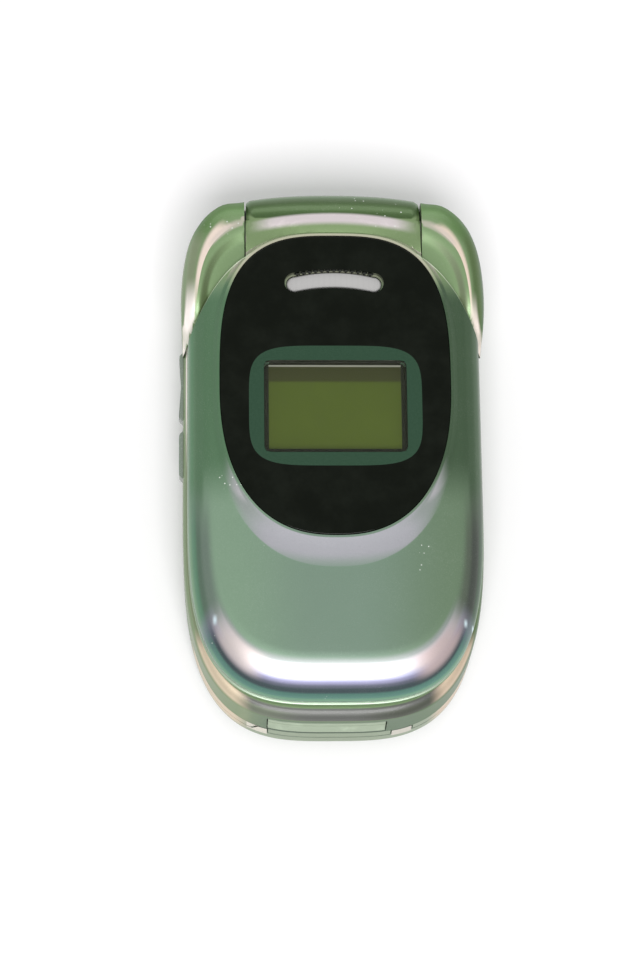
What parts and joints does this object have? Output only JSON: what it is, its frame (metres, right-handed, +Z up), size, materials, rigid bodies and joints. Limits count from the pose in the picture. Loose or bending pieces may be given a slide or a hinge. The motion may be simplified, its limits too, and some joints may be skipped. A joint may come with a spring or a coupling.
{
  "type": "flip phone",
  "caption": "Rounded clamshell mobile phone with an oval outer display, hinged lid, keypad and removable battery pack.",
  "frame": {"origin": "centre of the bounding box's bottom face, where the phone lies on its back", "axes": "+Z up through the closed lid, +Y towards the hinge end, +X to the right seen from the front"},
  "size_m": [0.0494, 0.0874, 0.0216],
  "materials": {
    "silver_paint": "metallic satin paint on moulded plastic, slightly green silver",
    "silver_paint_light": "metallic satin paint on moulded plastic",
    "battery_paint": "metallic satin paint on moulded plastic",
    "black_lens": "polished clear over black print",
    "light_guide": "frosted",
    "lcd_olive": "reflective monochrome display",
    "lcd_dark": "colour display, switched off",
    "key_silver": "satin painted key",
    "key_green": "satin painted key",
    "key_red": "satin painted key",
    "side_paint": "satin",
    "grey_rubber": "matt",
    "black_rubber": "matt",
    "clear_rubber": "translucent silicone",
    "circuit_green": "solder mask over copper",
    "tinned_steel": "satin",
    "steel": "turned",
    "black_plastic": "fine texture",
    "film": "polyester film",
    "flex_film": "polyimide film",
    "gold_contact": "gold plated",
    "cell_wrap": "drawn can",
    "carrier_cream": "moulded",
    "magnet_grey": "plated"
  },
  "bodies": {
    "base": {"base_front": "silver_paint", "base_rear": "silver_paint", "base_screws": "steel", "circuit_board": "circuit_green", "shield_cans": "tinned_steel", "dome_sheet": "film", "keymat": "clear_rubber", "loudspeaker": "black_plastic", "vibration_motor": "steel", "microphone": "tinned_steel", "headset_jack": "black_plastic", "bottom_connector": "tinned_steel", "battery_contacts": "gold_contact", "antenna": "carrier_cream", "side_switches": "tinned_steel", "hinge_shaft": "steel", "hinge_bush": "black_plastic", "latch_spring": "steel"},
    "lid": {"lid_cover": "silver_paint", "lid_inner": "silver_paint_light", "outer_lens": "black_lens", "indicator_bar": "light_guide", "outer_display": "lcd_olive", "main_display": "lcd_dark", "main_lens": "black_lens", "lid_board": "circuit_green", "earpiece": "black_plastic", "lid_screws": "steel", "lid_bumpers": "black_rubber", "hinge_can": "steel", "hinge_spring": "steel", "hinge_flex": "flex_film", "lid_magnet": "magnet_grey"},
    "battery": {"battery_case": "battery_paint", "battery_cell": "cell_wrap"},
    "latch": {"battery_latch": "side_paint"},
    "rocker": {"volume_rocker": "side_paint"},
    "side_button": {"side_key": "side_paint"},
    "jack_door": {"jack_cover": "grey_rubber"},
    "connector_door": {"connector_cover": "grey_rubber"},
    "navigation": {"nav_ring": "key_silver"},
    "select_key_body": {"select_key": "key_silver"},
    "call_key_body": {"call_key": "key_green"},
    "clear_key_body": {"clear_key": "key_silver"},
    "end_key_body": {"end_key": "key_red"},
    "soft_key_left_body": {"soft_key_left": "key_silver"},
    "soft_key_right_body": {"soft_key_right": "key_silver"},
    "key_1_body": {"key_1": "key_silver"},
    "key_2_body": {"key_2": "key_silver"},
    "key_3_body": {"key_3": "key_silver"},
    "key_4_body": {"key_4": "key_silver"},
    "key_5_body": {"key_5": "key_silver"},
    "key_6_body": {"key_6": "key_silver"},
    "key_7_body": {"key_7": "key_silver"},
    "key_8_body": {"key_8": "key_silver"},
    "key_9_body": {"key_9": "key_silver"},
    "key_star_body": {"key_star": "key_silver"},
    "key_0_body": {"key_0": "key_silver"},
    "key_hash_body": {"key_hash": "key_silver"}
  },
  "joints": [
    {"name": "lid_hinge", "type": "hinge", "parent": "base", "child": "lid", "pos_m": [0, 0.0382, 0.016], "axis": [-1, 0, 0], "range_deg": [0, 155]},
    {"name": "battery_slide", "type": "slide", "parent": "base", "child": "battery", "axis": [0, -1, 0], "range_m": [0, 0.008]},
    {"name": "latch_slide", "type": "slide", "parent": "base", "child": "latch", "axis": [0, 1, 0], "range_m": [0, 0.0012], "stiffness_N_per_m": 600},
    {"name": "rocker_tilt", "type": "hinge", "parent": "base", "child": "rocker", "pos_m": [-0.0223, 0.0132, 0.009], "axis": [0, 0, 1], "range_deg": [-2.2, 2.2], "stiffness_Nm_per_rad": 0.03},
    {"name": "side_key_press", "type": "slide", "parent": "base", "child": "side_button", "axis": [1, 0, 0], "range_m": [0, 0.0003], "stiffness_N_per_m": 1500},
    {"name": "jack_cover_hinge", "type": "hinge", "parent": "base", "child": "jack_door", "pos_m": [-0.024, 0.026, 0.009], "axis": [0, 0, -1], "range_deg": [0, 80]},
    {"name": "connector_cover_hinge", "type": "hinge", "parent": "base", "child": "connector_door", "pos_m": [-0.0014, -0.042, 0.00695], "axis": [1, 0, 0], "range_deg": [0, 90]},
    {"name": "nav_rock", "type": "hinge", "parent": "base", "child": "navigation", "pos_m": [0, 0.0164, 0.0105], "axis": [1, 0, 0], "range_deg": [-1.3, 1.3], "stiffness_Nm_per_rad": 0.06},
    {"name": "select_key_press", "type": "slide", "parent": "base", "child": "select_key_body", "axis": [0, 0, -1], "range_m": [0, 0.0003], "stiffness_N_per_m": 1500},
    {"name": "call_key_press", "type": "slide", "parent": "base", "child": "call_key_body", "axis": [0, 0, -1], "range_m": [0, 0.0003], "stiffness_N_per_m": 1500},
    {"name": "clear_key_press", "type": "slide", "parent": "base", "child": "clear_key_body", "axis": [0, 0, -1], "range_m": [0, 0.0003], "stiffness_N_per_m": 1500},
    {"name": "end_key_press", "type": "slide", "parent": "base", "child": "end_key_body", "axis": [0, 0, -1], "range_m": [0, 0.0003], "stiffness_N_per_m": 1500},
    {"name": "soft_key_left_press", "type": "slide", "parent": "base", "child": "soft_key_left_body", "axis": [0, 0, -1], "range_m": [0, 0.0003], "stiffness_N_per_m": 1500},
    {"name": "soft_key_right_press", "type": "slide", "parent": "base", "child": "soft_key_right_body", "axis": [0, 0, -1], "range_m": [0, 0.0003], "stiffness_N_per_m": 1500},
    {"name": "key_1_press", "type": "slide", "parent": "base", "child": "key_1_body", "axis": [0, 0, -1], "range_m": [0, 0.0003], "stiffness_N_per_m": 1500},
    {"name": "key_2_press", "type": "slide", "parent": "base", "child": "key_2_body", "axis": [0, 0, -1], "range_m": [0, 0.0003], "stiffness_N_per_m": 1500},
    {"name": "key_3_press", "type": "slide", "parent": "base", "child": "key_3_body", "axis": [0, 0, -1], "range_m": [0, 0.0003], "stiffness_N_per_m": 1500},
    {"name": "key_4_press", "type": "slide", "parent": "base", "child": "key_4_body", "axis": [0, 0, -1], "range_m": [0, 0.0003], "stiffness_N_per_m": 1500},
    {"name": "key_5_press", "type": "slide", "parent": "base", "child": "key_5_body", "axis": [0, 0, -1], "range_m": [0, 0.0003], "stiffness_N_per_m": 1500},
    {"name": "key_6_press", "type": "slide", "parent": "base", "child": "key_6_body", "axis": [0, 0, -1], "range_m": [0, 0.0003], "stiffness_N_per_m": 1500},
    {"name": "key_7_press", "type": "slide", "parent": "base", "child": "key_7_body", "axis": [0, 0, -1], "range_m": [0, 0.0003], "stiffness_N_per_m": 1500},
    {"name": "key_8_press", "type": "slide", "parent": "base", "child": "key_8_body", "axis": [0, 0, -1], "range_m": [0, 0.0003], "stiffness_N_per_m": 1500},
    {"name": "key_9_press", "type": "slide", "parent": "base", "child": "key_9_body", "axis": [0, 0, -1], "range_m": [0, 0.0003], "stiffness_N_per_m": 1500},
    {"name": "key_star_press", "type": "slide", "parent": "base", "child": "key_star_body", "axis": [0, 0, -1], "range_m": [0, 0.0003], "stiffness_N_per_m": 1500},
    {"name": "key_0_press", "type": "slide", "parent": "base", "child": "key_0_body", "axis": [0, 0, -1], "range_m": [0, 0.0003], "stiffness_N_per_m": 1500},
    {"name": "key_hash_press", "type": "slide", "parent": "base", "child": "key_hash_body", "axis": [0, 0, -1], "range_m": [0, 0.0003], "stiffness_N_per_m": 1500}
  ]
}
